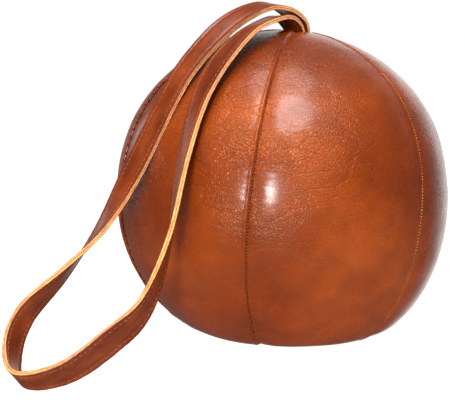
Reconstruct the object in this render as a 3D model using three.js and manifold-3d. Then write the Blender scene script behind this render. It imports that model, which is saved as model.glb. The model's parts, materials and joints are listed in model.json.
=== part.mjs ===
// A leather medicine ball with a long throwing strap.
// The cover is six lens-shaped leather gores sewn edge to edge over canvas backings and a fibre stuffing.
// The strap is a two-layer leather band. Both of its ends pass through the crown of the ball and a leather disc
// inside it, and are riveted together under the disc. Its loop hangs over the front left of the ball and rests
// on the floor.
// Units are millimetres, +Z is up, and the origin is the centre of the flat face that the ball rests on.
import * as THREE from 'three';
import { mergeVertices } from 'three/addons/utils/BufferGeometryUtils.js';
import Module from 'manifold-3d';

const solidKernel = await Module();
solidKernel.setup();

// Ball: a sphere that has sagged onto a flat foot
const BALL_RADIUS = 105;
const BALL_CENTRE = new THREE.Vector3(-6, 0, 85);
const TOP_HEIGHT_FACTOR = 0.975;
const BOTTOM_HEIGHT_FACTOR = 1.017;
const LOW_FULLNESS = 0.012;
const SHOULDER_FULLNESS = 0.089;
const FOOT_SHIFT = 9;
const GORE_AXIS = new THREE.Vector3(0.1, 0.057, 1).normalize();

// Gores and seams
const GORE_COUNT = 6;
const GORE_ANGLE = 2 * Math.PI / GORE_COUNT;
const FRONT_SEAM_LONGITUDE = THREE.MathUtils.degToRad(-9.7);
const GORE_TIP_POLAR = THREE.MathUtils.degToRad(179.2);
const SEAM_HALF_GAP = 0.15;
const GROOVE_HALF_WIDTH = 2.8;
const GROOVE_DEPTH = 1.3;
const GORE_ROWS = 14;
const THREAD_SIZE = 0.7;
const THREAD_DEPTH = 0.6;
const THREAD_POLAR_RANGE = [THREE.MathUtils.degToRad(11), THREE.MathUtils.degToRad(140)];
const THREAD_ROWS = 20;

// Layers, as depths under the ball's outer face
const LEATHER_DEPTHS = [0, 2];
const BACKING_DEPTHS = [3.2, 4];
const STUFFING_DEPTH = 5.4;
const ANCHOR_RECESS_DEPTH = 30;
const ANCHOR_RECESS_POLAR = THREE.MathUtils.degToRad(17);

// Strap: two glued layers with a row of stitches near each edge
const STRAP_WIDTH = 14.5;
const LAYER_THICKNESS = 1.3;
const GLUE_GAP = 0.6;
const STITCH_INSET = 2.1;
const STITCH_WIDTH = 0.6;
const STITCH_HEIGHT = 0.4;
const STITCH_GAP = 0.3;
const STITCH_END_MARGIN = 1.5;
const STRAP_STEP = 4;
const ROOT_STEP = 2.5;
const LEG_SPACING = 5;

// Strap joints, as distances along the strap from each end of the band
const LIFT_DISTANCE_OVER = 39;
const LIFT_DISTANCE_UNDER = 35;
const BEND_DISTANCE_OVER = 132;
const BEND_DISTANCE_UNDER = 120;
const LIFT_CLEARANCE = 4.2;
const BEND_CLEARANCE = 1.3;
const JOINT_CLEARANCE = 0.25;

// Crown opening and the anchor inside it
const CROWN_CENTRE = new THREE.Vector3(4, 6, 186);
const SLOT_DIRECTION = new THREE.Vector3(-0.82, 0.57, 0);
const CROWN_SLOT_HALF = [10, 6.6];
const ANCHOR_RADIUS = 19;
const ANCHOR_TOP = 7.2;
const ANCHOR_THICKNESS = 2.5;
const ANCHOR_SLOT_HALF = [8, 4.9];
const TAIL_BOTTOM = 24;
const RIVET_DOWN = 15.5;
const RIVET_ASIDE = 3.8;
const RIVET_SHANK_RADIUS = 1.3;
const RIVET_HEAD_RADIUS = 2.8;
const RIVET_HEAD_THICKNESS = 0.8;
const RIVET_HOLE_RADIUS = 1.7;
const RIVET_HEAD_GAP = 0.6;

// Strap centre line and the direction across it, from the front or upper edge to the far or lower edge
const STRAP_STATIONS = [
  { at: [5.5, 8, 184], across: [-0.82, 0.57, 0] },
  { at: [3.2, 4.8, 193.5], across: [-0.8, 0.6, 0] },
  { at: [-6, -6.5, 200.6], across: [-0.76, 0.64, 0.12] },
  { at: [-19.5, -19.5, 201], across: [-0.72, 0.66, 0.22] },
  { at: [-39.5, -38, 189], across: [-0.77, 0.54, 0.34] },
  { at: [-60, -52.5, 166], across: [-0.77, 0.59, 0.24] },
  { at: [-72, -62.5, 144.5], across: [-0.75, 0.64, 0.18] },
  { at: [-89, -70, 110], across: [-0.77, 0.59, 0.24] },
  { at: [-107.5, -81, 75.5], across: [-0.42, 0.78, -0.03] },
  { at: [-127.5, -93.5, 50.5], across: [0.04, 0.79, -0.37] },
  { at: [-144.5, -111.5, 32.5], across: [0.37, 0.68, -0.62] },
  { at: [-147.5, -130, 17.5], across: [0.42, 0.58, -0.71] },
  { at: [-139.5, -145.5, 7], across: [0.28, 0.62, -0.75] },
  { at: [-116, -146.5, 11.1], across: [0.5, 0.52, -0.74] },
  { at: [-93, -141, 26.5], across: [0.67, 0.48, -0.68] },
  { at: [-76.5, -127.5, 42], across: [0.33, 0.75, -0.57] },
  { at: [-65.5, -111, 74.5], across: [-0.08, 0.91, -0.4] },
  { at: [-59.5, -94.5, 114.5], across: [-0.44, 0.86, -0.27] },
  { at: [-52, -82, 145.5], across: [-0.66, 0.74, -0.12] },
  { at: [-41.5, -70, 167.5], across: [-0.8, 0.59, 0] },
  { at: [-26.5, -51, 184.8], across: [-0.8, 0.56, -0.16] },
  { at: [-13, -28.5, 192.8], across: [-0.82, 0.56, -0.08] },
  { at: [-5, -11.5, 194.6], across: [-0.82, 0.57, 0] },
  { at: [0.3, 0.4, 190.5], across: [-0.82, 0.57, 0] },
  { at: [2.5, 4, 184], across: [-0.82, 0.57, 0] },
];

const leather = new THREE.MeshStandardMaterial({ color: 0xa04a1c, roughness: 0.3, metalness: 0 });
const strapLeather = new THREE.MeshStandardMaterial({ color: 0x8f4222, roughness: 0.45, metalness: 0 });
const canvas = new THREE.MeshStandardMaterial({ color: 0xc9bda2, roughness: 0.9, metalness: 0 });
const fibre = new THREE.MeshStandardMaterial({ color: 0xb3a68c, roughness: 1, metalness: 0 });
const seamThread = new THREE.MeshStandardMaterial({ color: 0x4a2314, roughness: 0.7, metalness: 0 });
const strapThread = new THREE.MeshStandardMaterial({ color: 0x9a5a35, roughness: 0.7, metalness: 0 });
const brass = new THREE.MeshStandardMaterial({ color: 0xb08d4a, roughness: 0.35, metalness: 1 });

const ball = new THREE.Group();

function addPart(name, geometry, material) {
  geometry.computeVertexNormals();
  const mesh = new THREE.Mesh(geometry, material.clone());
  mesh.name = name;
  ball.add(mesh);
}

// Moves every corner of a geometry to the place that a function gives for it
function reshape(geometry, place) {
  const position = geometry.attributes.position;
  const corner = new THREE.Vector3();
  for (let i = 0; i < position.count; i += 1) {
    const moved = place(corner.fromBufferAttribute(position, i));
    position.setXYZ(i, moved.x, moved.y, moved.z);
  }
  return geometry;
}

// ---- Ball surface ----

const frontward = new THREE.Vector3(0, -1, 0).addScaledVector(GORE_AXIS, GORE_AXIS.y).normalize();
const rightward = new THREE.Vector3().crossVectors(GORE_AXIS, frontward);

// A point of the sagged ball at a polar angle from the crown, a longitude and a depth under the outer face
function ballPoint(polar, longitude, depth) {
  const outward = frontward.clone().multiplyScalar(Math.cos(longitude));
  outward.addScaledVector(rightward, Math.sin(longitude)).multiplyScalar(Math.sin(polar));
  outward.addScaledVector(GORE_AXIS, Math.cos(polar));
  const rise = outward.z;
  const level = 1 - rise * rise;
  const swell = 1 - LOW_FULLNESS * rise * level + SHOULDER_FULLNESS * level * rise * rise;
  const heightFactor = rise > 0 ? TOP_HEIGHT_FACTOR : BOTTOM_HEIGHT_FACTOR;
  const point = new THREE.Vector3(outward.x * swell, outward.y * swell, rise * heightFactor);
  point.multiplyScalar(BALL_RADIUS).add(BALL_CENTRE);
  point.x += FOOT_SHIFT * Math.max(-rise, 0) ** 2;
  point.addScaledVector(outward, -depth);
  point.z = Math.max(point.z, depth);
  return point;
}

// ---- Crown frame: X out from between the two legs, Y across the strap, and Z up the gore axis ----

const crownAcross = SLOT_DIRECTION.clone().addScaledVector(GORE_AXIS, -SLOT_DIRECTION.dot(GORE_AXIS)).normalize();
const crownOut = new THREE.Vector3().crossVectors(crownAcross, GORE_AXIS);
const crownFrame = new THREE.Matrix4().makeBasis(crownOut, crownAcross, GORE_AXIS).setPosition(CROWN_CENTRE);

function crownPoint(out, across, up) {
  return new THREE.Vector3(out, across, up).applyMatrix4(crownFrame);
}

// Half size of a rounded slot in a direction around the gore axis
function slotReach(longitude, halfSizes) {
  const outward = frontward.clone().multiplyScalar(Math.cos(longitude)).addScaledVector(rightward, Math.sin(longitude));
  const across = Math.abs(outward.dot(crownAcross)) / halfSizes[0];
  const out = Math.abs(outward.dot(crownOut)) / halfSizes[1];
  return (across ** 4 + out ** 4) ** -0.25;
}

// ---- Gores: a flat block wrapped onto the ball between two seams ----

// Column positions across a gore, from -1 at one seam to 1 at the next, with grooveEdge beside each seam
function goreAcross(column, grooveEdge) {
  return [-1, -grooveEdge, -0.5, 0, 0.5, grooveEdge, 1][column];
}

function goreGeometry(middleLongitude, depths, hasGroove, slotMargin) {
  const columns = hasGroove ? 6 : 4;
  const block = new THREE.BoxGeometry(columns, GORE_ROWS, 1, columns, GORE_ROWS, 1);
  return reshape(block, (corner) => {
    const column = Math.round(corner.x + columns / 2);
    const down = 0.5 - corner.y / GORE_ROWS;
    const crownPolar = (slotReach(middleLongitude, CROWN_SLOT_HALF) + slotMargin) / BALL_RADIUS;
    const midPolar = crownPolar + down * (GORE_TIP_POLAR - crownPolar);
    const rowRadius = BALL_RADIUS * Math.sin(midPolar);
    const halfAngle = GORE_ANGLE / 2 - SEAM_HALF_GAP / rowRadius;
    const grooveEdge = Math.max(1 - GROOVE_HALF_WIDTH / rowRadius / halfAngle, 0.7);
    const across = hasGroove ? goreAcross(column, grooveEdge) : column / 2 - 1;
    const longitude = middleLongitude + across * halfAngle;
    const startPolar = (slotReach(longitude, CROWN_SLOT_HALF) + slotMargin) / BALL_RADIUS;
    const polar = startPolar + down * (GORE_TIP_POLAR - startPolar);
    const isOuter = corner.z > 0;
    const grooveDepth = isOuter && hasGroove && Math.abs(across) === 1 ? GROOVE_DEPTH : 0;
    return ballPoint(polar, longitude, (isOuter ? depths[0] : depths[1]) + grooveDepth);
  });
}

for (let gore = 0; gore < GORE_COUNT; gore += 1) {
  const seamLongitude = FRONT_SEAM_LONGITUDE + gore * GORE_ANGLE;
  const middleLongitude = seamLongitude + GORE_ANGLE / 2;
  addPart(`gore_leather_${gore + 1}`, goreGeometry(middleLongitude, LEATHER_DEPTHS, true, 0), leather);
  addPart(`gore_backing_${gore + 1}`, goreGeometry(middleLongitude, BACKING_DEPTHS, false, 0.8), canvas);
  addPart(`seam_thread_${gore + 1}`, seamThreadGeometry(seamLongitude), seamThread);
}

// A square cord laid in the groove between two gores
function seamThreadGeometry(longitude) {
  const block = new THREE.BoxGeometry(1, THREAD_ROWS, 1, 1, THREAD_ROWS, 1);
  const [startPolar, endPolar] = THREAD_POLAR_RANGE;
  return reshape(block, (corner) => {
    const polar = startPolar + (0.5 - corner.y / THREAD_ROWS) * (endPolar - startPolar);
    const aside = corner.x * THREAD_SIZE / (BALL_RADIUS * Math.sin(polar));
    return ballPoint(polar, longitude + aside, THREAD_DEPTH - corner.z * THREAD_SIZE);
  });
}

// ---- Stuffing: one compact mass with a recess at the crown for the anchor ----

const stuffing = new THREE.SphereGeometry(1, GORE_COUNT * 4, GORE_ROWS);
reshape(stuffing, (corner) => {
  const polar = Math.acos(THREE.MathUtils.clamp(corner.y, -1, 1));
  const longitude = Math.atan2(corner.z, -corner.x) + FRONT_SEAM_LONGITUDE;
  const depth = polar < ANCHOR_RECESS_POLAR ? ANCHOR_RECESS_DEPTH : STUFFING_DEPTH;
  return ballPoint(polar, longitude, depth);
});
addPart('stuffing', stuffing, fibre);

// ---- Strap: one route for the whole band, with a straight tail inside the ball at each end ----

function tailStations(side) {
  const out = side * LEG_SPACING / 2;
  return [-TAIL_BOTTOM, -TAIL_BOTTOM * 2 / 3, -TAIL_BOTTOM / 3].map((up) => crownPoint(out, 0, up));
}

const overTail = tailStations(1);
const underTail = tailStations(-1).reverse();
const routePoints = [...overTail, ...STRAP_STATIONS.map((s) => new THREE.Vector3(...s.at)), ...underTail];
const routeAcross = [
  ...overTail.map(() => crownAcross),
  ...STRAP_STATIONS.map((s) => new THREE.Vector3(...s.across)),
  ...underTail.map(() => crownAcross),
];
const route = new THREE.CatmullRomCurve3(routePoints, false, 'catmullrom', 0.5);
const acrossCurve = new THREE.CatmullRomCurve3(routeAcross, false, 'catmullrom', 0.5);
route.arcLengthDivisions = 2000;
const bandLength = route.getLength();

// A point of the band at a distance along it, a distance across it and a distance out of its outer face
function bandPoint(distance, aside, outward) {
  const t = route.getUtoTmapping(distance / bandLength);
  const along = route.getTangent(t);
  const across = acrossCurve.getPoint(t);
  across.addScaledVector(along, -across.dot(along)).normalize();
  const outerNormal = new THREE.Vector3().crossVectors(across, along);
  return route.getPoint(t).addScaledVector(across, aside).addScaledVector(outerNormal, outward);
}

// A straight strip bent onto the band between two distances
function stripGeometry(span, aside, width, outwardFrom, outwardTo, stepLength = STRAP_STEP) {
  const steps = Math.round((span[1] - span[0]) / stepLength);
  const strip = new THREE.BoxGeometry(1, 1, 1, steps, 1, 1);
  return reshape(strip, (corner) => {
    const distance = THREE.MathUtils.lerp(span[0], span[1], corner.x + 0.5);
    const outward = THREE.MathUtils.lerp(outwardFrom, outwardTo, corner.y + 0.5);
    return bandPoint(distance, aside + corner.z * width, outward);
  });
}

const layerInner = GLUE_GAP / 2;
const layerOuter = layerInner + LAYER_THICKNESS;
const stitchInner = layerOuter + STITCH_GAP;
const stitchOuter = stitchInner + STITCH_HEIGHT;
const stitchAside = STRAP_WIDTH / 2 - STITCH_INSET;

// side is 1 for the layer on the outside of the loop and -1 for the layer on its inside
function layerGeometry(span, side, stepLength) {
  return stripGeometry(span, 0, STRAP_WIDTH, Math.min(side * layerInner, side * layerOuter),
    Math.max(side * layerInner, side * layerOuter), stepLength);
}

function stitchGeometry(span, side, edge) {
  return stripGeometry(span, edge * stitchAside, STITCH_WIDTH, Math.min(side * stitchInner, side * stitchOuter),
    Math.max(side * stitchInner, side * stitchOuter));
}

// ---- Strap parts from the crown to the lift joint, with rivet holes in their tails ----

function toSolid(geometry) {
  const shape = geometry.clone();
  shape.deleteAttribute('normal');
  shape.deleteAttribute('uv');
  const merged = mergeVertices(shape, 1e-4);
  return new solidKernel.Manifold(new solidKernel.Mesh({
    numProp: 3,
    vertProperties: new Float32Array(merged.attributes.position.array),
    triVerts: new Uint32Array(merged.index.array),
  }));
}

function toGeometry(solid) {
  const mesh = solid.getMesh();
  const geometry = new THREE.BufferGeometry();
  geometry.setAttribute('position', new THREE.BufferAttribute(new Float32Array(mesh.vertProperties), 3));
  geometry.setIndex(new THREE.BufferAttribute(new Uint32Array(mesh.triVerts), 1));
  return geometry;
}

// A shape made along Y lies through both legs, along the crown frame's X
function layThroughLegs(geometry, aside) {
  return geometry.rotateZ(Math.PI / 2).translate(0, aside, -RIVET_DOWN).applyMatrix4(crownFrame);
}

function rivetHole(aside) {
  return toSolid(layThroughLegs(new THREE.CylinderGeometry(RIVET_HOLE_RADIUS, RIVET_HOLE_RADIUS, 30, 10), aside));
}

const rootSpans = {
  over: { outside: [0, LIFT_DISTANCE_OVER - LIFT_CLEARANCE], inside: [0, LIFT_DISTANCE_OVER - LIFT_CLEARANCE / 2] },
  under: { outside: [bandLength - LIFT_DISTANCE_UNDER + JOINT_CLEARANCE, bandLength],
    inside: [bandLength - LIFT_DISTANCE_UNDER + JOINT_CLEARANCE, bandLength] },
};

const rivetHoles = rivetHole(RIVET_ASIDE).add(rivetHole(-RIVET_ASIDE));
for (const leg of ['over', 'under']) {
  for (const [layer, side] of [['outside', 1], ['inside', -1]]) {
    const strip = toSolid(layerGeometry(rootSpans[leg][layer], side, ROOT_STEP));
    addPart(`strap_root_${leg}_${layer}`, toGeometry(strip.subtract(rivetHoles)), strapLeather);
  }
}

// ---- Strap legs from the lift joint to the bend joint, and the loop beyond it ----

const underBend = bandLength - BEND_DISTANCE_UNDER;
const legSpans = {
  over: [LIFT_DISTANCE_OVER + LIFT_CLEARANCE, BEND_DISTANCE_OVER - BEND_CLEARANCE],
  under: [underBend + BEND_CLEARANCE, bandLength - LIFT_DISTANCE_UNDER - JOINT_CLEARANCE],
};
const loopSpan = [BEND_DISTANCE_OVER + BEND_CLEARANCE, underBend - BEND_CLEARANCE];

function addStrapStretch(name, span) {
  const stitchSpan = [span[0] + STITCH_END_MARGIN, span[1] - STITCH_END_MARGIN];
  for (const [layer, side] of [['outside', 1], ['inside', -1]]) {
    addPart(`${name}_${layer}`, layerGeometry(span, side), strapLeather);
    for (const [edge, edgeSide] of [['front', -1], ['far', 1]]) {
      addPart(`${name}_${layer}_thread_${edge}`, stitchGeometry(stitchSpan, side, edgeSide), strapThread);
    }
  }
}

addStrapStretch('strap_leg_over', legSpans.over);
addStrapStretch('strap_leg_under', legSpans.under);
addStrapStretch('strap_loop', loopSpan);

// ---- Anchor disc and rivets ----

const disc = new THREE.Shape().absarc(0, 0, ANCHOR_RADIUS, 0, 2 * Math.PI);
const [slotAcross, slotOut] = ANCHOR_SLOT_HALF;
disc.holes.push(new THREE.Path([
  new THREE.Vector2(-slotOut, -slotAcross),
  new THREE.Vector2(-slotOut, slotAcross),
  new THREE.Vector2(slotOut, slotAcross),
  new THREE.Vector2(slotOut, -slotAcross),
]));
const anchorDisc = new THREE.ExtrudeGeometry(disc, { depth: ANCHOR_THICKNESS, bevelEnabled: false, curveSegments: 18 });
anchorDisc.translate(0, 0, -ANCHOR_TOP - ANCHOR_THICKNESS).applyMatrix4(crownFrame);
addPart('anchor_disc', anchorDisc, leather);

// A rivet through both legs, with a head outside each of them
const rivetInner = LEG_SPACING / 2 + layerOuter + RIVET_HEAD_GAP;
const rivetOuter = rivetInner + RIVET_HEAD_THICKNESS;
const rivetProfile = [
  new THREE.Vector2(0, -rivetOuter),
  new THREE.Vector2(RIVET_HEAD_RADIUS, -rivetOuter),
  new THREE.Vector2(RIVET_HEAD_RADIUS, -rivetInner),
  new THREE.Vector2(RIVET_SHANK_RADIUS, -rivetInner),
  new THREE.Vector2(RIVET_SHANK_RADIUS, rivetInner),
  new THREE.Vector2(RIVET_HEAD_RADIUS, rivetInner),
  new THREE.Vector2(RIVET_HEAD_RADIUS, rivetOuter),
  new THREE.Vector2(0, rivetOuter),
];
for (const [position, aside] of [['front', -RIVET_ASIDE], ['far', RIVET_ASIDE]]) {
  addPart(`anchor_rivet_${position}`, layThroughLegs(new THREE.LatheGeometry(rivetProfile, 12), aside), brass);
}

export default ball;
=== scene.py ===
"""Looks of the leather medicine ball and its strap. Metres, +Z up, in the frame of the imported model."""

import json
import math

import bpy
import numpy as np
from mathutils import Euler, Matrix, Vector, noise


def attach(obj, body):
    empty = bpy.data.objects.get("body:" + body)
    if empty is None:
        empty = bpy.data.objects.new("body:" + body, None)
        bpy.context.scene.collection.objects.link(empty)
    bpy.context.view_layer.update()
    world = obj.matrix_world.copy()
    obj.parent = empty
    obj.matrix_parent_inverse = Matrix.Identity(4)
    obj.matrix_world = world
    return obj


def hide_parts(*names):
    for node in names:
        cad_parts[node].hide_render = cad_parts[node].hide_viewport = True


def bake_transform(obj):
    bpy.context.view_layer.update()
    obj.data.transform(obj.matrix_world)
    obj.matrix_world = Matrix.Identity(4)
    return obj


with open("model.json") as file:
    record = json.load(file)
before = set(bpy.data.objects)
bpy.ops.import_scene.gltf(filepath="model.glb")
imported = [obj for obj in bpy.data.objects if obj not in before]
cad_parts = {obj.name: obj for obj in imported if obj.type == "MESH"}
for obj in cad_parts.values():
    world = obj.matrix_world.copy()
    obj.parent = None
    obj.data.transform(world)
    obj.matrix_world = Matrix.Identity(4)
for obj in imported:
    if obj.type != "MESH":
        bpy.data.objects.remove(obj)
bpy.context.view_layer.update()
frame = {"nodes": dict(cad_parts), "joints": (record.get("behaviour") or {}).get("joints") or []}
NODES = frame["nodes"]

# Camera, 0.63 m in front of the ball and a little lower than its top
CAMERA_PLACE = (-0.006, -0.6264, 0.1732)
CAMERA_TILT_DEG = 81.44
CAMERA_TURN_DEG = 2.84
CAMERA_LENS = 76.0
CAMERA_SENSOR = 36.0
CAMERA_CLIP = (0.01, 50)

# Studio: a dim room with one pale window, behind the ball on its right
ROOM_BRIGHTNESS = 0.12
WINDOW_BRIGHTNESS = 1.5
WINDOW_DIRECTION = (0.24, 0.95, 0.0)
WINDOW_EDGE_COSINE = 0.78

# Floor
FLOOR_HALF_SIZE = 30.0
FLOOR_DROP = 0.0002
FLOOR_GLOW = 0.93

# Lights: azimuth and elevation in degrees, distance, size and power in watts
LIGHTS = {
    "overhead_softbox": (4, 60, 0.95, (0.50, 0.56), 10.0),
    "ceiling_panel": (-4, 84, 1.2, (0.6, 0.8), 5.5),
    "front_card": (-11, 8, 1.1, (0.19, 0.19), 8.0),
    "left_card": (-128, 8, 1.2, (0.4, 0.5), 0.9),
}

# Ball: a sphere that has sagged onto a flat foot, as the model of the part has it
BALL_RADIUS = 0.105
BALL_CENTRE = np.array([-0.006, 0.0, 0.085])
TOP_HEIGHT_FACTOR = 0.975
BOTTOM_HEIGHT_FACTOR = 1.017
LOW_FULLNESS = 0.012
SHOULDER_FULLNESS = 0.089
FOOT_SHIFT = 0.009
FOOT_ROUNDING = 0.007
GORE_AXIS = np.array([0.1, 0.057, 1.0]) / np.linalg.norm([0.1, 0.057, 1.0])
GORE_COUNT = 6
GORE_ANGLE = 2 * math.pi / GORE_COUNT
FRONT_SEAM_LONGITUDE = math.radians(-9.7)
GORE_TIP_POLAR = math.radians(179.2)
SLOT_DIRECTION = np.array([-0.82, 0.57, 0.0])
CROWN_SLOT_HALF = (0.0089, 0.0057)

# Leather cover. Columns crowd towards the seams and rows towards the crown
GORE_ROWS = 300
GORE_HALF_COLUMNS = 19
COLUMN_CROWDING = 3.5
ROW_CROWDING = 1.06
SEAM_HALF_GAP = 0.00008
SMALLEST_ROW_RADIUS = 0.002
LEATHER_THICKNESS = 0.0018
EDGE_THICKNESS = 0.0009
EDGE_THINNING_REACH = 0.003
SMALLEST_FOOT_THICKNESS = 0.0006

# Seams: a crease in a valley, puckers, and a rib where the allowances are folded to one side
VALLEY_DEPTH = 0.0010
VALLEY_WIDTH = 0.0062
VALLEY_POWER = 1.5
CREASE_DEPTH = 0.0006
CREASE_WIDTH = 0.0004
RIB_HEIGHT = 0.00032
RIB_PLACE = 0.0011
RIB_WIDTH = 0.0006
RIB_VALLEY_FILL = 0.5
RIB_OF_LEFT_GORE = 1.5
RIB_OF_RIGHT_GORE = -0.25
PUCKER_HEIGHT = 0.00028
PUCKER_REACH = 0.008
PUCKER_LENGTH = 0.0062
HAND_PUCKER = 2.4
MACHINE_PUCKER = 1.4
FINE_PUCKER = 0.12
FINE_PUCKER_PITCHES = 2.4
LIP_DEPTH = 0.0034
LIP_WIDTH = 0.0019
LIP_POWER = 1.3

# Lumps of the stuffing under the leather: height and size of each kind. They fade towards the seams
LARGE_LUMP = (0.0007, 0.052)
SMALL_LUMP = (0.0003, 0.021)
LUMP_FADE = 0.012

# Thread: rods of a few sides, whose radius falls towards the ends
ROD_SIDES = 7
ROD_RINGS = 7
ROD_END_POWER = 5
ROD_SMALLEST_END = 0.03

# Seam stitches. Sink is the depth of a stitch's level below the valley's floor. Its middle rises above that
# level and its ends dive below it
SEAM_PITCH = 0.0018
STITCH_POLAR_RANGE = (math.radians(8.0), math.radians(172.0))
MACHINE_STITCH = {"pitch": SEAM_PITCH, "half_length": 0.00085, "length_spread": 0.0, "slant": 0.32,
                  "slant_spread": 0.12, "radius": 0.00033, "sink": 0.00012}
# The stitches of the one seam with pale thread sit higher, and their pale thread is a painted highlight
# along that seam
PAINTED_HIGHLIGHT_SEAM_STITCH = {**MACHINE_STITCH, "sink": -0.0003}
HAND_STITCH = {"pitch": 0.0052, "half_length": 0.0024, "length_spread": 0.0004, "slant": 0.95,
               "slant_spread": 0.25, "radius": 0.00042, "sink": 0.0001}
HAND_SEAM = 6
# The seam whose raised, pale stitches paint the highlight that runs along it
PAINTED_HIGHLIGHT_SEAM = 2
STITCH_RISE = 0.0003
STITCH_DIVE = 0.0003
STITCH_FLATNESS = 0.8
SMALLEST_STITCH_CIRCLE = 0.004
UP_PROBE = 0.002
FLOOR_CLEARANCE = 0.0001

# Strap: two glued layers. Layer span is the height of a layer's faces above the glue line
STRAP_WIDTH = 0.0145
LAYER_SPAN = (0.00004, 0.00135)
STRAP_STEP = 0.001
END_STEP = 0.0001
LEG_SPACING = 0.005
TAIL_BOTTOM = 0.024
CROWN_CENTRE = np.array([0.004, 0.006, 0.186])
TABLE_STEPS = 6000
TANGENT_STEP = 2e-4

# Section of a strap layer: where the face's columns lie, in half widths, and how its cut edge bulges, as
# (bulge, share of the thickness)
FACE_COLUMNS = [-1, -0.99, -0.95, -0.87, -0.79, -0.73, -0.68, -0.63, -0.55, -0.35, 0]
EDGE_PROFILE = [(0, 0.84), (0.00005, 0.62), (0.00003, 0.35), (0, 0.10)]
GLUE_LINE_INSET = 0.00006

# Strap faces: the stitch channel, the rib outside it, slow waves, and edges that wander and fray
STITCH_INSET = 0.0023
CHANNEL_DEPTH = 0.00032
CHANNEL_WIDTH = 0.0007
CHANNEL_BEAT = 0.25
FACE_RIB_HEIGHT = 0.00012
FACE_RIB_PLACE = 0.0010
FACE_RIB_WIDTH = 0.0009
WAVE_HEIGHT = 0.00007
WAVE_LENGTH = 0.024
WAVE_WIDTH = 0.009
WANDER = 0.012
WANDER_LENGTH = 0.019
FRAY_DEPTH = 0.00016
FRAY_LENGTH = 0.0026
FRAY_PER_METRE_ACROSS = 900
EDGE_STARTS = 0.96
UV_LAYER_HEIGHT = 0.0015
UV_INSIDE_SHIFT = 0.05

# Strap stitches
STRAP_PITCH = 0.0031
STRAP_THREAD_RADIUS = 0.00021
STRAP_THREAD_WIDENING = 1.2
STRAP_STITCH_END_SHARE = 0.15
STRAP_STITCH_HALF_SHARE = 0.43
STRAP_STITCH_SPREAD = 0.02
STRAP_STITCH_WOBBLE = 0.00008
STRAP_STITCH_SLANT = 0.00007
STRAP_CHANNEL_FILL = 0.8
STRAP_STITCH_RISE = 0.00016
STRAP_STITCH_DIVE = 0.00042
STITCH_FREE_END = 0.001

# Distances along the band, from its ends, where the visual strap is divided
OVER_SPLIT = 0.086
UNDER_SPLIT = 0.078

# Where the strap would bend when its hinges turn. make_strap pairs these blends with its stretches but
# never applies them
LIFT_BLEND = ((0.004, 0.0045, 0.1885), (-0.0185, -0.021, 0.2005))
BEND_DIRECTION = (-0.49, -0.37, -0.79)
BEND_BLEND_BEFORE = 0.016
BEND_BLEND_AFTER = 0.022

# Strap centre line, and the direction across it from its front or upper edge to its far or lower edge. Most
# of the list is the rounded result of a least-squares fit to the strap's edges in the photo
STRAP_STATIONS = [
    ((0.0055, 0.008, 0.184), (-0.82, 0.57, 0)),
    ((0.0032, 0.0048, 0.1935), (-0.8, 0.6, 0)),
    ((-0.006, -0.0065, 0.2006), (-0.76, 0.64, 0.12)),
    ((-0.0195, -0.0195, 0.201), (-0.72, 0.66, 0.22)),
    ((-0.0395, -0.038, 0.189), (-0.77, 0.54, 0.34)),
    ((-0.06, -0.0525, 0.166), (-0.77, 0.59, 0.24)),
    ((-0.072, -0.0625, 0.1445), (-0.75, 0.64, 0.18)),
    ((-0.089, -0.07, 0.11), (-0.77, 0.59, 0.24)),
    ((-0.1075, -0.081, 0.0755), (-0.42, 0.78, -0.03)),
    ((-0.1275, -0.0935, 0.0505), (0.04, 0.79, -0.37)),
    ((-0.1445, -0.1115, 0.0325), (0.37, 0.68, -0.62)),
    ((-0.1475, -0.13, 0.0175), (0.42, 0.58, -0.71)),
    ((-0.1395, -0.1455, 0.007), (0.28, 0.62, -0.75)),
    ((-0.116, -0.1465, 0.0111), (0.5, 0.52, -0.74)),
    ((-0.093, -0.141, 0.0265), (0.67, 0.48, -0.68)),
    ((-0.0765, -0.1275, 0.042), (0.33, 0.75, -0.57)),
    ((-0.0655, -0.111, 0.0745), (-0.08, 0.91, -0.4)),
    ((-0.0595, -0.0945, 0.1145), (-0.44, 0.86, -0.27)),
    ((-0.052, -0.082, 0.1455), (-0.66, 0.74, -0.12)),
    ((-0.0415, -0.07, 0.1675), (-0.8, 0.59, 0)),
    ((-0.0265, -0.051, 0.1848), (-0.8, 0.56, -0.16)),
    ((-0.013, -0.0285, 0.1928), (-0.82, 0.56, -0.08)),
    ((-0.005, -0.0115, 0.1946), (-0.82, 0.57, 0)),
    ((0.0003, 0.0004, 0.1905), (-0.82, 0.57, 0)),
    ((0.0025, 0.004, 0.184), (-0.82, 0.57, 0)),
]


def colour(red, green, blue):
    """An sRGB colour, 0 to 255, as the linear colour that a shader takes."""
    linear = [((c / 255 + 0.055) / 1.055) ** 2.4 if c > 10 else c / 255 / 12.92 for c in (red, green, blue)]
    return (*linear, 1.0)


# ---- Camera ----

def make_camera():
    data = bpy.data.cameras.new("camera")
    data.lens = CAMERA_LENS
    data.sensor_width = CAMERA_SENSOR
    data.clip_start, data.clip_end = CAMERA_CLIP
    camera = bpy.data.objects.new("camera", data)
    camera.location = CAMERA_PLACE
    camera.rotation_euler = Euler((math.radians(CAMERA_TILT_DEG), 0, math.radians(CAMERA_TURN_DEG)))
    bpy.context.scene.collection.objects.link(camera)
    bpy.context.scene.camera = camera


# ---- Mesh helpers ----

def unit(vectors):
    return vectors / np.linalg.norm(vectors, axis=-1, keepdims=True)


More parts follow.
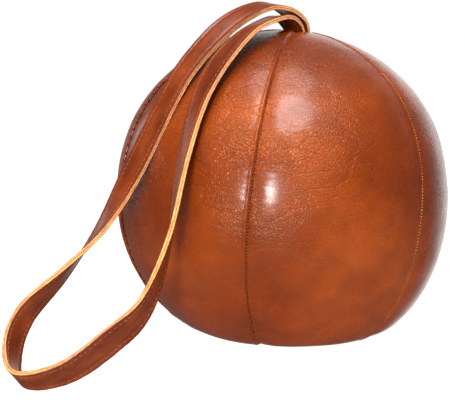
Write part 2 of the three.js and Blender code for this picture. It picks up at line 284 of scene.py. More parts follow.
def new_object(name, points, faces, materials, face_materials=None, uv=None, flat_faces=0):
    """A smooth mesh object, flat in its last faces. uv holds a pair for each corner of each face."""
    mesh = bpy.data.meshes.new(name)
    mesh.from_pydata(points.tolist(), [], [list(face) for face in faces])
    for material in materials:
        mesh.materials.append(material)
    if face_materials is not None:
        mesh.polygons.foreach_set("material_index", np.asarray(face_materials, np.int32))
    mesh.polygons.foreach_set("use_smooth", np.arange(len(faces)) < len(faces) - flat_faces)
    if uv is not None:
        layer = mesh.uv_layers.new(name="surface")
        layer.data.foreach_set("uv", np.asarray(uv, np.float32).ravel())
    mesh.validate()
    mesh.update()
    piece = bpy.data.objects.new(name, mesh)
    bpy.context.scene.collection.objects.link(piece)
    return piece


def strip_faces(rows, columns, closed):
    """Quads of a grid, and each corner's (row, column) with the column counted past the wrap."""
    last = columns if closed else columns - 1
    row, column = np.meshgrid(np.arange(rows - 1), np.arange(last), indexing="ij")
    row, column = row.ravel(), column.ravel()
    corners = np.stack([
        np.stack([row, column], 1), np.stack([row, column + 1], 1),
        np.stack([row + 1, column + 1], 1), np.stack([row + 1, column], 1),
    ], 1)
    return corners[..., 0] * columns + corners[..., 1] % columns, corners


def noise_at(points, size, seed):
    """Smooth noise, about -1 to 1, at each point, with features of that size in metres."""
    scale = 1 / size
    return np.array([noise.noise((x * scale + seed, y * scale - seed, z * scale)) for x, y, z in points])


# ---- Ball surface ----

FRONTWARD = np.array([0.0, -1.0, 0.0]) + GORE_AXIS * GORE_AXIS[1]
FRONTWARD = FRONTWARD / np.linalg.norm(FRONTWARD)
RIGHTWARD = np.cross(GORE_AXIS, FRONTWARD)
CROWN_ACROSS = unit(SLOT_DIRECTION - GORE_AXIS * (SLOT_DIRECTION @ GORE_AXIS))
CROWN_OUT = np.cross(CROWN_ACROSS, GORE_AXIS)


def smooth_maximum(a, b, reach):
    share = np.maximum(reach - np.abs(a - b), 0) / reach
    return np.maximum(a, b) + share * share * reach / 4


def sideways(longitude):
    """The direction of a longitude, square to the gore axis."""
    return np.cos(longitude)[..., None] * FRONTWARD + np.sin(longitude)[..., None] * RIGHTWARD


def ball_point(polar, longitude, depth):
    """Points of the sagged ball at polar angles from the crown, longitudes and depths under its face."""
    polar, longitude, depth = np.broadcast_arrays(polar, longitude, depth)
    outward = sideways(longitude) * np.sin(polar)[..., None] + GORE_AXIS * np.cos(polar)[..., None]
    rise = outward[..., 2]
    level = 1 - rise * rise
    swell = 1 - LOW_FULLNESS * rise * level + SHOULDER_FULLNESS * level * rise * rise
    height = rise * np.where(rise > 0, TOP_HEIGHT_FACTOR, BOTTOM_HEIGHT_FACTOR)
    point = np.stack([outward[..., 0] * swell, outward[..., 1] * swell, height], -1)
    point = point * BALL_RADIUS + BALL_CENTRE
    point[..., 0] += FOOT_SHIFT * np.maximum(-rise, 0) ** 2
    point -= outward * depth[..., None]
    point[..., 2] = smooth_maximum(point[..., 2], np.maximum(depth, 0.0), FOOT_ROUNDING)
    return point


def slot_reach(longitude):
    """Half size of the crown's rounded slot in the direction of a longitude."""
    outward = sideways(longitude)
    across = np.abs(outward @ CROWN_ACROSS) / CROWN_SLOT_HALF[0]
    out = np.abs(outward @ CROWN_OUT) / CROWN_SLOT_HALF[1]
    return (across ** 4 + out ** 4) ** -0.25


# ---- Leather cover ----

def gore_depth(seam_distance, seam_length, slot_distance, hand_seam, rib):
    """How far the leather's outer face sinks beside a seam, and at the lip of the crown slot."""
    crease = CREASE_DEPTH * np.exp(-seam_distance / CREASE_WIDTH)
    valley_depth = VALLEY_DEPTH * (1 - RIB_VALLEY_FILL * rib)
    valley = valley_depth * np.exp(-(seam_distance / VALLEY_WIDTH) ** VALLEY_POWER)
    reach = np.exp(-seam_distance / PUCKER_REACH)
    seed = 11.0 if hand_seam else 0.0
    ripple = np.array([noise.noise((length / PUCKER_LENGTH, 3.7, seed)) for length in seam_length])
    fine = np.sin(seam_length * 2 * math.pi / (SEAM_PITCH * FINE_PUCKER_PITCHES))
    gain = HAND_PUCKER if hand_seam else MACHINE_PUCKER
    pucker = PUCKER_HEIGHT * reach * (ripple * gain + FINE_PUCKER * fine)
    lip = LIP_DEPTH * np.exp(-(slot_distance / LIP_WIDTH) ** LIP_POWER)
    raised = rib * RIB_HEIGHT * np.exp(-((seam_distance - RIB_PLACE) / RIB_WIDTH) ** 2)
    return crease + valley + pucker + lip - raised


def make_gore(index, material):
    middle = FRONT_SEAM_LONGITUDE + index * GORE_ANGLE + GORE_ANGLE / 2
    half = np.linspace(0, 1, GORE_HALF_COLUMNS)
    crowded = (np.exp(COLUMN_CROWDING * half) - 1) / (math.exp(COLUMN_CROWDING) - 1)
    share = np.concatenate([crowded - 1, (1 - crowded[::-1])[1:]])
    down = np.linspace(0, 1, GORE_ROWS) ** ROW_CROWDING
    crown_polar = slot_reach(np.array([middle]))[0] / BALL_RADIUS
    row_radius = BALL_RADIUS * np.sin(crown_polar + down * (GORE_TIP_POLAR - crown_polar))
    half_angle = GORE_ANGLE / 2 - SEAM_HALF_GAP / np.maximum(row_radius, SMALLEST_ROW_RADIUS)
    longitude = middle + share[None, :] * half_angle[:, None]
    start = slot_reach(longitude) / BALL_RADIUS
    polar = start + down[:, None] * (GORE_TIP_POLAR - start)

    seam_distance = (1 - np.abs(share))[None, :] * GORE_ANGLE / 2 * BALL_RADIUS * np.sin(polar)
    seam_length = BALL_RADIUS * polar
    slot_distance = (polar - start) * BALL_RADIUS
    places = [values.ravel() for values in (seam_distance, seam_length, slot_distance)]
    own, following = index + 1 == HAND_SEAM, (index + 1) % GORE_COUNT + 1 == HAND_SEAM
    near_own = gore_depth(*places, own, RIB_OF_RIGHT_GORE).reshape(polar.shape)
    near_following = gore_depth(*places, following, RIB_OF_LEFT_GORE).reshape(polar.shape)
    depth = np.where(share[None, :] > 0, near_following, near_own)

    smooth = ball_point(polar, longitude, 0).reshape(-1, 3)
    lumps = (LARGE_LUMP[0] * noise_at(smooth, LARGE_LUMP[1], index)
             + SMALL_LUMP[0] * noise_at(smooth, SMALL_LUMP[1], index + 9))
    lumps = lumps.reshape(polar.shape) * (1 - np.exp(-seam_distance / LUMP_FADE))
    outer = ball_point(polar, longitude, depth - lumps)
    thinning = 1 - np.exp(-seam_distance / EDGE_THINNING_REACH)
    thickness = EDGE_THICKNESS + (LEATHER_THICKNESS - EDGE_THICKNESS) * thinning
    inner = ball_point(polar, longitude, depth + thickness)
    inner[..., 2] = np.maximum(inner[..., 2], outer[..., 2] + SMALLEST_FOOT_THICKNESS)

    rows, columns = polar.shape
    section = np.concatenate([outer, inner[:, ::-1]], 1)
    faces, corners = strip_faces(rows, 2 * columns, True)
    across = share[None, :] * half_angle[:, None] * row_radius[:, None]
    uv_across = np.concatenate([across, across[:, ::-1]], 1)
    uv_down = np.concatenate([seam_length, seam_length[:, ::-1]], 1)
    row, column = corners[..., 0], corners[..., 1] % (2 * columns)
    uv = np.stack([uv_across[row, column], uv_down[row, column]], -1)
    faces, uv = faces[:, ::-1], uv[:, ::-1].reshape(-1, 2)
    caps, cap_uv = [], []
    for row, flip in ((0, False), (rows - 1, True)):
        for column in range(columns - 1):
            ring = [column, column + 1, 2 * columns - 2 - column, 2 * columns - 1 - column]
            if flip:
                ring = ring[::-1]
            caps.append([row * 2 * columns + c for c in ring])
            cap_uv.extend([[uv_across[row, c], uv_down[row, c]] for c in ring])
    piece = new_object(f"cover_gore_{index + 1}", section.reshape(-1, 3), faces.tolist() + caps, [material],
                       uv=np.concatenate([uv, np.array(cap_uv)]))
    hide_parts(f"gore_leather_{index + 1}")
    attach(piece, "ball")


# ---- Thread: short bent rods with round ends ----

def rod(path, side, up, radius_side, radius_up):
    """Points and faces of a closed rod along a path of points, with its ends drawn in round."""
    count = len(path)
    angle = np.arange(ROD_SIDES) / ROD_SIDES * 2 * math.pi
    along = np.linspace(-1, 1, count)
    draw = np.sqrt(np.maximum(1 - np.abs(along) ** ROD_END_POWER, ROD_SMALLEST_END))
    rings = (path[:, None]
             + side[None, None] * (np.cos(angle) * radius_side)[None, :, None] * draw[:, None, None]
             + up[None, None] * (np.sin(angle) * radius_up)[None, :, None] * draw[:, None, None])
    points = rings.reshape(-1, 3)
    faces = strip_faces(count, ROD_SIDES, True)[0].tolist()
    faces.append(list(range(ROD_SIDES))[::-1])
    faces.append([(count - 1) * ROD_SIDES + k for k in range(ROD_SIDES)])
    return points, faces


def joined(rods):
    points, faces, start = [], [], 0
    for rod_points, rod_faces in rods:
        points.append(rod_points)
        faces.extend([[start + k for k in face] for face in rod_faces])
        start += len(rod_points)
    return np.concatenate(points), faces


def make_seam_stitches(index, material):
    longitude = FRONT_SEAM_LONGITUDE + index * GORE_ANGLE
    stitch = {HAND_SEAM: HAND_STITCH, PAINTED_HIGHLIGHT_SEAM: PAINTED_HIGHLIGHT_SEAM_STITCH}.get(index + 1, MACHINE_STITCH)
    seam_depth = VALLEY_DEPTH + stitch["sink"]
    first, last = STITCH_POLAR_RANGE
    rods = []
    for i in range(int((last - first) * BALL_RADIUS / stitch["pitch"])):
        polar = first + (i + 0.5) * stitch["pitch"] / BALL_RADIUS
        wobble = noise.noise((i * 1.7, index * 5.1, 0.3))
        slant = stitch["slant"] + stitch["slant_spread"] * wobble
        half_length = stitch["half_length"] + stitch["length_spread"] * wobble
        t = np.linspace(-1, 1, ROD_RINGS)
        aside = t * half_length * math.cos(slant)
        forward = t * half_length * math.sin(slant)
        circle = max(BALL_RADIUS * math.sin(polar), SMALLEST_STITCH_CIRCLE)
        depth = seam_depth - STITCH_RISE * (1 - t * t) + STITCH_DIVE * t ** 4
        path = ball_point(polar + forward / BALL_RADIUS, longitude + aside / circle, depth)
        run = unit(path[-1] - path[0])
        below = ball_point(polar, longitude, seam_depth + UP_PROBE)
        up = unit(ball_point(polar, longitude, seam_depth) - below + np.array([0, 0, 1e-6]))
        side = unit(np.cross(run, up))
        rods.append(rod(path, side, np.cross(side, run), stitch["radius"],
                        stitch["radius"] * STITCH_FLATNESS))
    points, faces = joined(rods)
    points[:, 2] = np.maximum(points[:, 2], FLOOR_CLEARANCE)
    piece = new_object(f"seam_stitches_{index + 1}", points, faces, [material])
    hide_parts(f"seam_thread_{index + 1}")
    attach(piece, "ball")


# ---- Strap route ----

def crown_point(out, across, up):
    return CROWN_CENTRE + CROWN_OUT * out + CROWN_ACROSS * across + GORE_AXIS * up


def tail(side):
    """The strap's hidden end, from its bottom up, side 1 for the over leg and -1 for the under leg."""
    heights = (-TAIL_BOTTOM, -TAIL_BOTTOM * 2 / 3, -TAIL_BOTTOM / 3)
    return [crown_point(side * LEG_SPACING / 2, 0, up) for up in heights]


def curve_points(knots, t):
    """Points at t, from 0 to 1, of a uniform Catmull-Rom curve through the knots."""
    knots = np.asarray(knots, float)
    padded = np.concatenate([[2 * knots[0] - knots[1]], knots, [2 * knots[-1] - knots[-2]]])
    place = np.clip(t, 0, 1) * (len(knots) - 1)
    index = np.minimum(place.astype(int), len(knots) - 2)
    w = (place - index)[:, None]
    p0, p1, p2, p3 = (padded[index + k] for k in range(4))
    v0, v1 = (p2 - p0) / 2, (p3 - p1) / 2
    return (2 * p1 - 2 * p2 + v0 + v1) * w ** 3 + (-3 * p1 + 3 * p2 - 2 * v0 - v1) * w ** 2 + v0 * w + p1


ROUTE = tail(1) + [np.array(at) for at, _ in STRAP_STATIONS] + tail(-1)[::-1]
ROUTE_ACROSS = [np.array(across, float) for _, across in STRAP_STATIONS]
ROUTE_ACROSS = [CROWN_ACROSS] * 3 + ROUTE_ACROSS + [CROWN_ACROSS] * 3
TABLE_T = np.linspace(0, 1, TABLE_STEPS + 1)
TABLE_POINTS = curve_points(ROUTE, TABLE_T)
TABLE_LENGTH = np.concatenate([[0], np.cumsum(np.linalg.norm(np.diff(TABLE_POINTS, axis=0), axis=1))])
BAND_LENGTH = TABLE_LENGTH[-1]


def band_frame(distance):
    """Points of the band's middle at distances along it, with its directions along, across and outward."""
    t = np.interp(distance, TABLE_LENGTH, TABLE_T)
    points = curve_points(ROUTE, t)
    along = unit(curve_points(ROUTE, t + TANGENT_STEP) - curve_points(ROUTE, t - TANGENT_STEP))
    across = curve_points(ROUTE_ACROSS, t)
    across = unit(across - along * np.sum(across * along, -1, keepdims=True))
    return points, along, across, np.cross(across, along)


# ---- Strap layers ----

def layer_section():
    """One layer's section, as (aside, share of the thickness from inside to outside), all the way round."""
    half = STRAP_WIDTH / 2
    face = np.array(FACE_COLUMNS)
    face = np.concatenate([face, -face[-2::-1]]) * half
    outer = [(a, 1.0) for a in face[1:-1]]
    right = [(half + bulge, share) for bulge, share in EDGE_PROFILE]
    glued = half - GLUE_LINE_INSET
    inner = [(a, 0.0) for a in (glued, half / 2, 0, -half / 2, -glued)]
    left = [(-a, share) for a, share in right[::-1]]
    return outer, right, inner, left


def layer_relief(distance, aside, share, side):
    """How far each point of a layer lies aside, and its height above the glue line."""
    is_face = share == 1.0
    is_edge = np.abs(aside) > STRAP_WIDTH / 2 * EDGE_STARTS
    stitch_line = STRAP_WIDTH / 2 - STITCH_INSET
    near_line = np.exp(-((np.abs(aside) - stitch_line) / CHANNEL_WIDTH) ** 2)
    rib = np.exp(-((np.abs(aside) - STRAP_WIDTH / 2 + FACE_RIB_PLACE) / FACE_RIB_WIDTH) ** 2)
    beat = 0.5 + 0.5 * np.cos(distance / STRAP_PITCH * 2 * math.pi)
    sink = is_face * near_line * CHANNEL_DEPTH
    wave = np.array([[noise.noise((d / WAVE_LENGTH, a / WAVE_WIDTH, side * 3.0)) for a in aside]
                     for d in distance])
    height = LAYER_SPAN[0] + share[None, :] * (LAYER_SPAN[1] - LAYER_SPAN[0])
    height = (height - sink[None, :] * (1 - CHANNEL_BEAT + CHANNEL_BEAT * beat[:, None])
              + (is_face * rib * FACE_RIB_HEIGHT)[None, :])
    height = height + is_face[None, :] * wave * WAVE_HEIGHT

    wander = np.array([[noise.noise((d / WANDER_LENGTH, side * 7.0, np.sign(a) * 3.0)) for a in (-1, 1)]
                       for d in distance])
    wander = np.where(aside[None, :] > 0, wander[:, 1:], wander[:, :1])
    fray = np.array([[noise.noise((d / FRAY_LENGTH, a * FRAY_PER_METRE_ACROSS, side * 5.0)) for a in aside]
                     for d in distance])
    lateral = (aside[None, :] * (1 + WANDER * wander)
               + np.sign(aside)[None, :] * is_edge[None, :] * fray * FRAY_DEPTH)
    return lateral, height


def make_layer(name, span, side, materials):
    """side is 1 for the layer on the outside of the loop and -1 for the layer on its inside."""
    outer, right, inner, left = layer_section()
    section = outer + right + inner + left
    face, edge, glued = 0, 1, 2
    kinds = ([face] * len(outer) + [edge] * (len(right) - 1) + [glued] * (len(inner) + 1)
             + [edge] * (len(left) - 1) + [face])
    aside = np.array([a for a, _ in section])
    share = np.array([s for _, s in section])
    steps = int(round((span[1] - span[0]) / STRAP_STEP))
    distance = np.linspace(span[0], span[1], steps + 1)
    # A row close to each end gives both sides of a division the same shading there
    distance = np.sort(np.append(distance, [span[0] + END_STEP, span[1] - END_STEP]))
    points, _, across, outward = band_frame(distance)
    lateral, height = layer_relief(distance, aside, share, side)
    rings = (points[:, None] + across[:, None] * lateral[..., None]
             + outward[:, None] * (side * height)[..., None])

    rows, columns = len(distance), len(section)
    faces, corners = strip_faces(rows, columns, True)
    around = np.hypot(np.diff(np.append(aside, aside[0])),
                      np.diff(np.append(share, share[0])) * UV_LAYER_HEIGHT)
    perimeter = np.concatenate([[0], np.cumsum(around)])
    v = perimeter[corners[..., 1]] + (UV_INSIDE_SHIFT if side < 0 else 0)
    uv = np.stack([distance[corners[..., 0]], v], -1)
    face_kinds = np.array(kinds)[corners[:, 0, 1] % columns].tolist()
    if side < 0:
        faces, uv = faces[:, ::-1], uv[:, ::-1]
    faces, uv = faces.tolist(), uv.reshape(-1, 2).tolist()
    for row, flip in ((0, side > 0), (rows - 1, side < 0)):
        order = list(range(columns))
        if flip:
            order = order[::-1]
        faces.append([row * columns + k for k in order])
        uv.extend([[distance[row], perimeter[k]] for k in order])
        face_kinds.append(edge)
    piece = new_object(name, rings.reshape(-1, 3), faces, materials, face_kinds, uv, flat_faces=2)
    return piece


def make_strap_stitches(name, span, side, edge, material):
    """One row of stitches on a face, edge -1 for the front or upper edge and 1 for the far or lower one."""
    first = math.ceil(span[0] / STRAP_PITCH + STRAP_STITCH_END_SHARE)
    last = math.floor(span[1] / STRAP_PITCH - STRAP_STITCH_END_SHARE)
    middle = ROD_RINGS // 2
    rods = []
    for i in range(first, last):
        wobble = noise.noise((i * 1.3, edge * 4.0, side * 6.0))
        centre = (i + 0.5) * STRAP_PITCH
        t = np.linspace(-1, 1, ROD_RINGS)
        distance = centre + t * STRAP_PITCH * (STRAP_STITCH_HALF_SHARE + STRAP_STITCH_SPREAD * wobble)
        points, along, across, outward = band_frame(distance)
        aside = (edge * (STRAP_WIDTH / 2 - STITCH_INSET) + wobble * STRAP_STITCH_WOBBLE
                 + t * STRAP_STITCH_SLANT)
        height = (LAYER_SPAN[1] - CHANNEL_DEPTH * STRAP_CHANNEL_FILL + STRAP_STITCH_RISE
                  - STRAP_STITCH_DIVE * t ** 4)
        path = points + across * aside[:, None] + outward * (side * height)[:, None]
        up = outward[middle] * side
        rods.append(rod(path, unit(np.cross(along[middle], up)), up,
                        STRAP_THREAD_RADIUS * STRAP_THREAD_WIDENING, STRAP_THREAD_RADIUS))
    points, faces = joined(rods)
    piece = new_object(name, points, faces, [material])
    return piece


def make_strap(layer_materials, thread):
    bend = next(j for j in frame["joints"] if j["name"] == "strap_bend")
    hinge = np.array(bend["pos_m"])
    down = unit(np.array(BEND_DIRECTION))
    lift_blend = ("ball", "strap_upper", *LIFT_BLEND)
    bend_blend = ("strap_upper", "strap_end",
                  tuple(hinge - down * BEND_BLEND_BEFORE), tuple(hinge + down * BEND_BLEND_AFTER))
    under_start = BAND_LENGTH - UNDER_SPLIT
    stretches = {
        "over": ((0, OVER_SPLIT), "strap_leg_over", lift_blend, ["strap_root_over"]),
        "under": ((under_start, BAND_LENGTH), "strap_leg_under", lift_blend, ["strap_root_under"]),
        "loop": ((OVER_SPLIT, under_start), "strap_loop", bend_blend, []),
    }
    free_end = TAIL_BOTTOM + STITCH_FREE_END
    for stretch, (span, node, bending, roots) in stretches.items():
        stitched = (max(span[0], free_end), min(span[1], BAND_LENGTH - TAIL_BOTTOM - STITCH_FREE_END))
        for layer, side in (("outside", 1), ("inside", -1)):
            piece = make_layer(f"strap_{stretch}_layer_{layer}", span, side, layer_materials)
            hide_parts(f"{node}_{layer}", *[f"{root}_{layer}" for root in roots])
            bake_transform(piece)
            for edge, edge_side in (("front", -1), ("far", 1)):
                row = make_strap_stitches(f"strap_{stretch}_stitches_{layer}_{edge}", stitched, side,
                                          edge_side, thread)
                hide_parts(f"{node}_{layer}_thread_{edge}")
                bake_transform(row)


# ---- Materials ----

class Nodes:
    """Short names for the nodes of one material."""

    def __init__(self, name):
        self.material = bpy.data.materials.new(name)
        self.material.use_nodes = True
        self.tree = self.material.node_tree
        self.shader = self.tree.nodes["Principled BSDF"]

    def add(self, kind, **settings):
        node = self.tree.nodes.new(kind)
        for key, value in settings.items():
            if hasattr(node, key) and not isinstance(value, bpy.types.NodeSocket):
                setattr(node, key, value)
            else:
                self.link(value, node.inputs[key])
        return node

    def link(self, value, socket):
        if isinstance(value, bpy.types.NodeSocket):
            self.tree.links.new(value, socket)
        else:
            socket.default_value = value

    def place(self, kind="Object"):
        return self.add("ShaderNodeTexCoord").outputs[kind]

    def stretch(self, vector, scale):
        return self.add("ShaderNodeMapping", Vector=vector, Scale=scale).outputs["Vector"]

    def noise(self, vector, scale, detail, rough, distortion=0.0):
        node = self.add("ShaderNodeTexNoise", Vector=vector, Scale=scale, Detail=detail, Roughness=rough,
                        Distortion=distortion)
        return node.outputs["Fac"]

    def cells(self, vector, scale):
        """The distance to the nearest wall between cells."""
        node = self.add("ShaderNodeTexVoronoi", feature="DISTANCE_TO_EDGE", Vector=vector, Scale=scale)
        return node.outputs["Distance"]

    def bands(self, vector, direction):
        node = self.add("ShaderNodeTexWave", Vector=vector, Scale=260.0, Distortion=0.4,
                        bands_direction=direction)
        return node.outputs["Fac"]

    def ramp(self, value, stops):
        node = self.add("ShaderNodeValToRGB", Fac=value)
        ramp = node.color_ramp
        while len(ramp.elements) < len(stops):
            ramp.elements.new(0.5)
        for element, (position, tint) in zip(ramp.elements, stops):
            element.position = position
            element.color = tint
        return node.outputs["Color"]

    def grey(self, value, low, high, to_low=0.0, to_high=1.0):
        node = self.add("ShaderNodeMapRange", Value=value)
        for key, number in (("From Min", low), ("From Max", high), ("To Min", to_low), ("To Max", to_high)):
            self.link(number, node.inputs[key])
        return node.outputs["Result"]

    def mix(self, factor, a, b):
        """A mix of two colours. The sockets are numbered, because the node has several of each name."""
        node = self.add("ShaderNodeMix", data_type="RGBA")
        for number, value in ((0, factor), (6, a), (7, b)):
            self.link(value, node.inputs[number])
        return node.outputs[2]

    def math(self, operation, a, b):
        node = self.add("ShaderNodeMath", operation=operation)
        self.link(a, node.inputs[0])
        self.link(b, node.inputs[1])
        return node.outputs[0]

    def bump(self, height, distance, strength, below=None):
        node = self.add("ShaderNodeBump", Height=height, Distance=distance, Strength=strength)
        if below is not None:
            self.link(below, node.inputs["Normal"])
        return node.outputs["Normal"]

    def finish(self, base, roughness, normal=None, **values):
        self.link(base, self.shader.inputs["Base Color"])
        self.link(roughness, self.shader.inputs["Roughness"])
        if normal is not None:
            self.link(normal, self.shader.inputs["Normal"])
        for key, value in values.items():
            self.shader.inputs[key.replace("_", " ")].default_value = value
        return self.material


def ball_leather():
    n = Nodes("ball_leather")
    here = n.place()
    height = n.add("ShaderNodeSeparateXYZ", Vector=here).outputs["Z"]
    upper = n.grey(height, 0.055, 0.115, to_low=0.25)

    # Colour: clouds, darker mottling and a few pale pores
    clouds = n.noise(here, scale=14, detail=3, rough=0.55)
    mottle = n.noise(here, scale=60, detail=3, rough=0.55)
    pores = n.noise(here, scale=900, detail=2, rough=0.6)
    base = n.ramp(clouds, [(0.30, colour(92, 30, 3)), (0.50, colour(123, 46, 5)),
                           (0.70, colour(149, 63, 11))])
    base = n.mix(n.grey(mottle, 0.35, 0.75, to_high=0.45), base, colour(88, 27, 3))
    base = n.mix(n.grey(pores, 0.45, 0.75, to_high=0.10), base, colour(190, 92, 36))

    # Relief: soft dents, then crinkles and creases in patches, then grain, mostly on the upper half
    patches = n.noise(here, scale=13, detail=2, rough=0.5)
    wrinkled = n.math("MULTIPLY", n.grey(patches, 0.40, 0.62, to_low=0.2), upper)
    dents = n.noise(here, scale=48, detail=2, rough=0.5)
    crinkle = n.noise(n.stretch(here, (0.8, 0.8, 2.0)), scale=460, detail=3, rough=0.65, distortion=0.8)
    wall = n.grey(n.cells(n.stretch(here, (0.45, 0.45, 1.6)), scale=70), 0.0, 0.05)
    crease = n.math("MULTIPLY", n.math("SUBTRACT", 1.0, wall), wrinkled)
    grain = n.grey(n.cells(here, scale=700), 0.0, 0.25)
    normal = n.bump(dents, distance=0.0010, strength=0.5)
    normal = n.bump(n.math("MULTIPLY", crinkle, wrinkled), distance=0.0006, strength=0.36, below=normal)
    normal = n.bump(n.math("MULTIPLY", crease, -1.0), distance=0.0003, strength=0.85, below=normal)
    normal = n.bump(n.math("MULTIPLY", grain, upper), distance=0.00016, strength=0.9, below=normal)
    roughness = n.grey(mottle, 0.3, 0.7, to_low=0.22, to_high=0.36)
    return n.finish(base, roughness, normal, Coat_Weight=0.40, Coat_Roughness=0.19,
                    Specular_IOR_Level=0.4, Specular_Tint=(1, 0.72, 0.50, 1))


def strap_face():
    n = Nodes("strap_face")
    uv = n.place("UV")
    here = n.stretch(uv, (1, 2.2, 1))
    clouds = n.noise(here, scale=38, detail=3, rough=0.55)
    streaks = n.noise(n.stretch(uv, (1, 6, 1)), scale=160, detail=4, rough=0.6)
    base = n.ramp(clouds, [(0.30, colour(86, 30, 5)), (0.52, colour(112, 43, 8)),
                           (0.72, colour(134, 57, 15))])
    base = n.mix(n.grey(streaks, 0.45, 0.8, to_high=0.4), base, colour(74, 24, 5))
    dents = n.noise(here, scale=220, detail=3, rough=0.6)
    grain = n.grey(n.cells(uv, scale=700), 0, 0.25)
    normal = n.bump(dents, distance=0.0004, strength=0.4)
    normal = n.bump(grain, distance=0.00008, strength=0.45, below=normal)
    roughness = n.grey(clouds, 0.3, 0.7, to_low=0.32, to_high=0.44)
    return n.finish(base, roughness, normal, Coat_Weight=0.15, Coat_Roughness=0.25,
                    Specular_IOR_Level=0.35)


def strap_edge():
    n = Nodes("strap_edge")
    uv = n.place("UV")
    fibres = n.noise(n.stretch(uv, (1, 3.5, 1)), scale=620, detail=5, rough=0.65, distortion=0.4)
    patches = n.noise(n.stretch(uv, (1, 3, 1)), scale=120, detail=3, rough=0.55)
    base = n.ramp(fibres, [(0.28, colour(182, 98, 40)), (0.5, colour(244, 166, 92)),
                           (0.72, colour(255, 220, 156))])
    base = n.mix(n.grey(patches, 0.40, 0.66, to_high=0.7), base, colour(170, 88, 36))
    normal = n.bump(fibres, distance=0.0005, strength=0.7)
    return n.finish(base, 0.82, normal, Sheen_Weight=0.2, Sheen_Roughness=0.5)


def strap_inner():
    n = Nodes("strap_inner_face")
    fibres = n.noise(n.stretch(n.place("UV"), (1, 2, 1)), scale=500, detail=4, rough=0.6)
    base = n.ramp(fibres, [(0.3, colour(120, 70, 40)), (0.7, colour(170, 112, 70))])
    return n.finish(base, 0.9, n.bump(fibres, distance=0.0003, strength=0.5))


def thread_material(name, dark, light):
    n = Nodes(name)
    twist = n.noise(n.place(), scale=1500, detail=2, rough=0.5)
    base = n.ramp(twist, [(0.35, dark), (0.65, light)])
    return n.finish(base, 0.6, n.bump(twist, distance=0.0002, strength=0.6), Specular_IOR_Level=0.2)


def canvas_material():
    n = Nodes("backing_canvas")
    here = n.place()
    weave = n.math("MULTIPLY", n.bands(here, "X"), n.bands(here, "Z"))
    base = n.mix(weave, colour(168, 152, 124), colour(214, 202, 176))
    return n.finish(base, 0.9, n.bump(weave, distance=0.0004, strength=0.6), Sheen_Weight=0.2)


def fibre_material():
    n = Nodes("stuffing_fibre")
    tufts = n.noise(n.place(), scale=240, detail=6, rough=0.7, distortion=1.2)
    base = n.ramp(tufts, [(0.3, colour(140, 124, 98)), (0.7, colour(200, 188, 160))])
    return n.finish(base, 0.95, n.bump(tufts, distance=0.002, strength=0.8), Sheen_Weight=0.3)


def anchor_leather():
    n = Nodes("anchor_leather")
    fibres = n.noise(n.place(), scale=420, detail=4, rough=0.6)
    base = n.ramp(fibres, [(0.3, colour(112, 62, 30)), (0.7, colour(150, 92, 50))])
    return n.finish(base, 0.75, n.bump(fibres, distance=0.0003, strength=0.6))


def rivet_brass():
    n = Nodes("rivet_brass")
    scratches = n.noise(n.stretch(n.place(), (1, 1, 6)), scale=500, detail=3, rough=0.6)
    base = n.ramp(scratches, [(0.3, colour(150, 118, 60)), (0.7, colour(206, 172, 104))])
    roughness = n.grey(scratches, 0.3, 0.7, to_low=0.28, to_high=0.45)
    return n.finish(base, roughness, n.bump(scratches, distance=0.0001, strength=0.4), Metallic=1.0)


def paint_hidden_nodes():
    """The pieces inside the cover keep the model's shape and get their own materials."""
    looks = {"gore_backing": canvas_material(), "stuffing": fibre_material(),
             "anchor_disc": anchor_leather(), "anchor_rivet": rivet_brass()}
    for name, node in NODES.items():
        for start, material in looks.items():
            if name.startswith(start):
                node.data.materials.clear()
                node.data.materials.append(material)


# ---- Stage ----

def floor_material():
    """A pale table with a glow of its own, so that it stays nearly white to its far edge."""
    n = Nodes("floor")
    tone = n.noise(n.place(), scale=3, detail=2, rough=0.5)
    base = n.ramp(tone, [(0.3, (0.42, 0.42, 0.42, 1)), (0.7, (0.46, 0.46, 0.46, 1))])
    return n.finish(base, 0.8, Specular_IOR_Level=0.1, Emission_Color=(1, 1, 1, 1),
                    Emission_Strength=FLOOR_GLOW)


def make_floor():
    """The table, kept out of reflections, where it would wash out the leather's colour."""
    size = FLOOR_HALF_SIZE
    corners = np.array([[-size, -size, 0], [size, -size, 0], [size, size, 0], [-size, size, 0]])
    floor = new_object("floor", corners, [[0, 1, 2, 3]], [floor_material()])
    floor.location.z = -FLOOR_DROP
    floor.visible_glossy = False


def area_light(name, azimuth, elevation, distance, size, power):
    """A softbox at an azimuth, from the front towards the right, and an elevation, seen from the ball."""
    a, e = math.radians(azimuth), math.radians(elevation)
    towards = Vector((math.sin(a) * math.cos(e), -math.cos(a) * math.cos(e), math.sin(e)))
    data = bpy.data.lights.new(name, "AREA")
    data.shape = "ELLIPSE"
    data.size, data.size_y = size
    data.energy = power
    light = bpy.data.objects.new(name, data)
    light.location = Vector(BALL_CENTRE) + towards * distance
    light.rotation_euler = towards.to_track_quat("Z", "Y").to_euler()
    bpy.context.scene.collection.objects.link(light)


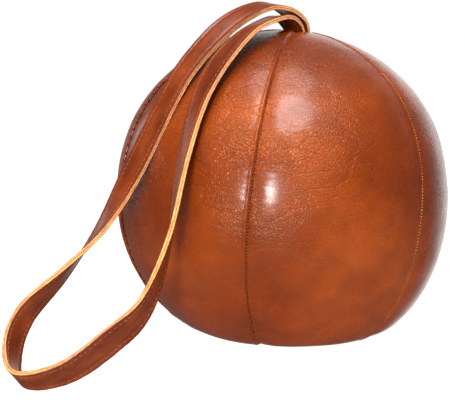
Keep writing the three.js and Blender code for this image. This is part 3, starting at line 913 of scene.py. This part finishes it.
def make_world():
    """A dim room with a pale window behind the ball, seen by the camera as plain white."""
    world = bpy.data.worlds.new("studio")
    world.use_nodes = True
    tree = world.node_tree
    light = tree.nodes["Background"]
    seen = tree.nodes.new("ShaderNodeBackground")
    choice = tree.nodes.new("ShaderNodeMixShader")
    path = tree.nodes.new("ShaderNodeLightPath")
    where = tree.nodes.new("ShaderNodeTexCoord")
    facing = tree.nodes.new("ShaderNodeVectorMath")
    facing.operation = "DOT_PRODUCT"
    facing.inputs[1].default_value = Vector(WINDOW_DIRECTION).normalized()
    level = tree.nodes.new("ShaderNodeMapRange")
    level.interpolation_type = "SMOOTHSTEP"
    level.inputs["From Min"].default_value = WINDOW_EDGE_COSINE
    level.inputs["From Max"].default_value = 1.0
    level.inputs["To Min"].default_value = ROOM_BRIGHTNESS
    level.inputs["To Max"].default_value = WINDOW_BRIGHTNESS
    tree.links.new(where.outputs["Generated"], facing.inputs[0])
    tree.links.new(facing.outputs["Value"], level.inputs["Value"])
    tree.links.new(level.outputs["Result"], light.inputs["Strength"])
    light.inputs["Color"].default_value = (1, 1, 1, 1)
    seen.inputs["Color"].default_value = (1, 1, 1, 1)
    tree.links.new(path.outputs["Is Camera Ray"], choice.inputs[0])
    tree.links.new(light.outputs[0], choice.inputs[1])
    tree.links.new(seen.outputs[0], choice.inputs[2])
    tree.links.new(choice.outputs[0], tree.nodes["World Output"].inputs["Surface"])
    bpy.context.scene.world = world


def make_lights():
    for name, (azimuth, elevation, distance, size, power) in LIGHTS.items():
        area_light(name, azimuth, elevation, distance, size, power)
    make_world()
    bpy.context.scene.view_settings.view_transform = "Standard"


make_camera()
leather = ball_leather()
seam_thread = thread_material("seam_thread", colour(104, 38, 14), colour(158, 74, 38))
hand_thread = thread_material("hand_thread", colour(30, 12, 6), colour(64, 28, 16))
# Pale thread, used on one seam only, is a painted highlight: it stands in for the light line along that
# seam
painted_highlight_thread = thread_material("painted_highlight_thread", colour(206, 116, 66), colour(250, 178, 128))
threads = {HAND_SEAM: hand_thread, PAINTED_HIGHLIGHT_SEAM: painted_highlight_thread}
for gore in range(GORE_COUNT):
    make_gore(gore, leather)
    make_seam_stitches(gore, threads.get(gore + 1, seam_thread))
make_strap([strap_face(), strap_edge(), strap_inner()],
           thread_material("strap_thread", colour(116, 54, 28), colour(160, 92, 56)))
paint_hidden_nodes()
make_floor()
make_lights()
